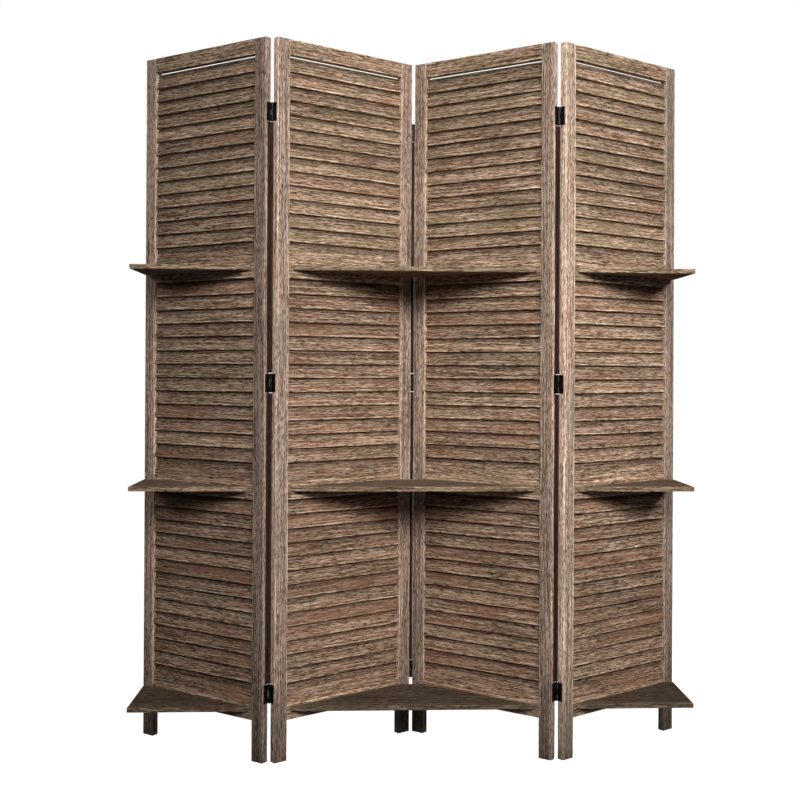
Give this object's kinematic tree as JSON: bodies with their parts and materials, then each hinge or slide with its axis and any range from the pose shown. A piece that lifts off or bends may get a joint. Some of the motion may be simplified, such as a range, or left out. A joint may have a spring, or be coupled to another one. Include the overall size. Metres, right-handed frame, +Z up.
{
  "type": "folding room divider screen",
  "caption": "Folding louvred room divider in rustic brown wood, standing in a zigzag, with shelves across its front between the panels.",
  "frame": {"origin": "on the floor, in the middle of the box that the standing screen fills", "axes": "+Z up; the front, with the shelves, faces -Y; X along the screen"},
  "size_m": [1.3508, 0.2512, 1.702],
  "materials": {
    "stile_wood": "brushed and stained, matt",
    "rail_wood": "brushed and stained, matt",
    "slat_wood": "brushed and stained, matt",
    "shelf_wood": "brushed and stained, matt",
    "dowel_wood": "plain turned beech",
    "stop_wood": "dark stained, matt",
    "hinge_leaf": "black lacquered steel, satin",
    "hinge_pin": "black lacquered steel, satin",
    "hinge_screw": "blackened steel, satin"
  },
  "bodies": {
    "left_outer_panel": {"panel_1_left_stile": "stile_wood", "panel_1_right_stile": "stile_wood", "panel_1_top_rail": "rail_wood", "panel_1_mid_rails": "rail_wood", "panel_1_bottom_rail": "rail_wood", "panel_1_upper_slats": "slat_wood", "panel_1_middle_slats": "slat_wood", "panel_1_lower_slats": "slat_wood", "panel_1_hinge_screws": "hinge_screw", "joint_1_left_leaves": "hinge_leaf", "joint_1_pins": "hinge_pin", "joint_1_light_stops": "stop_wood", "left_lower_shelf": "shelf_wood", "left_middle_shelf": "shelf_wood", "left_upper_shelf": "shelf_wood", "left_shelf_dowels": "dowel_wood"},
    "left_inner_panel": {"panel_2_left_stile": "stile_wood", "panel_2_right_stile": "stile_wood", "panel_2_top_rail": "rail_wood", "panel_2_mid_rails": "rail_wood", "panel_2_bottom_rail": "rail_wood", "panel_2_upper_slats": "slat_wood", "panel_2_middle_slats": "slat_wood", "panel_2_lower_slats": "slat_wood", "panel_2_hinge_screws": "hinge_screw", "joint_1_right_leaves": "hinge_leaf", "joint_2_left_leaves": "hinge_leaf", "joint_2_pins": "hinge_pin", "joint_2_light_stops": "stop_wood"},
    "right_inner_panel": {"panel_3_left_stile": "stile_wood", "panel_3_right_stile": "stile_wood", "panel_3_top_rail": "rail_wood", "panel_3_mid_rails": "rail_wood", "panel_3_bottom_rail": "rail_wood", "panel_3_upper_slats": "slat_wood", "panel_3_middle_slats": "slat_wood", "panel_3_lower_slats": "slat_wood", "panel_3_hinge_screws": "hinge_screw", "joint_2_right_leaves": "hinge_leaf", "joint_3_left_leaves": "hinge_leaf", "joint_3_pins": "hinge_pin", "joint_3_light_stops": "stop_wood"},
    "right_outer_panel": {"panel_4_left_stile": "stile_wood", "panel_4_right_stile": "stile_wood", "panel_4_top_rail": "rail_wood", "panel_4_mid_rails": "rail_wood", "panel_4_bottom_rail": "rail_wood", "panel_4_upper_slats": "slat_wood", "panel_4_middle_slats": "slat_wood", "panel_4_lower_slats": "slat_wood", "panel_4_hinge_screws": "hinge_screw", "joint_3_right_leaves": "hinge_leaf", "right_lower_shelf": "shelf_wood", "right_middle_shelf": "shelf_wood", "right_upper_shelf": "shelf_wood", "right_shelf_dowels": "dowel_wood"},
    "centre_shelves": {"centre_lower_shelf": "shelf_wood", "centre_middle_shelf": "shelf_wood", "centre_upper_shelf": "shelf_wood", "centre_shelf_dowels": "dowel_wood"}
  },
  "joints": [
    {"name": "left_outer_hinge", "type": "hinge", "parent": "left_inner_panel", "child": "left_outer_panel", "pos_m": [-0.33963, -0.11091, 0], "axis": [0, 0, 1], "range_deg": [-107.2, 40]},
    {"name": "middle_hinge", "type": "hinge", "parent": "left_inner_panel", "child": "right_inner_panel", "pos_m": [0, 0.11091, 0], "axis": [0, 0, 1], "range_deg": [-107.2, 0]},
    {"name": "right_outer_hinge", "type": "hinge", "parent": "right_inner_panel", "child": "right_outer_panel", "pos_m": [0.33963, -0.11091, 0], "axis": [0, 0, 1], "range_deg": [-40, 107.2]},
    {"name": "centre_shelves_pull_off", "type": "slide", "parent": "left_inner_panel", "child": "centre_shelves", "axis": [0, -1, 0], "range_m": [0, 1.162]}
  ],
  "couplings": [
    {"joint": "centre_shelves_pull_off", "follows": "middle_hinge", "m_per_rad": -0.62}
  ]
}
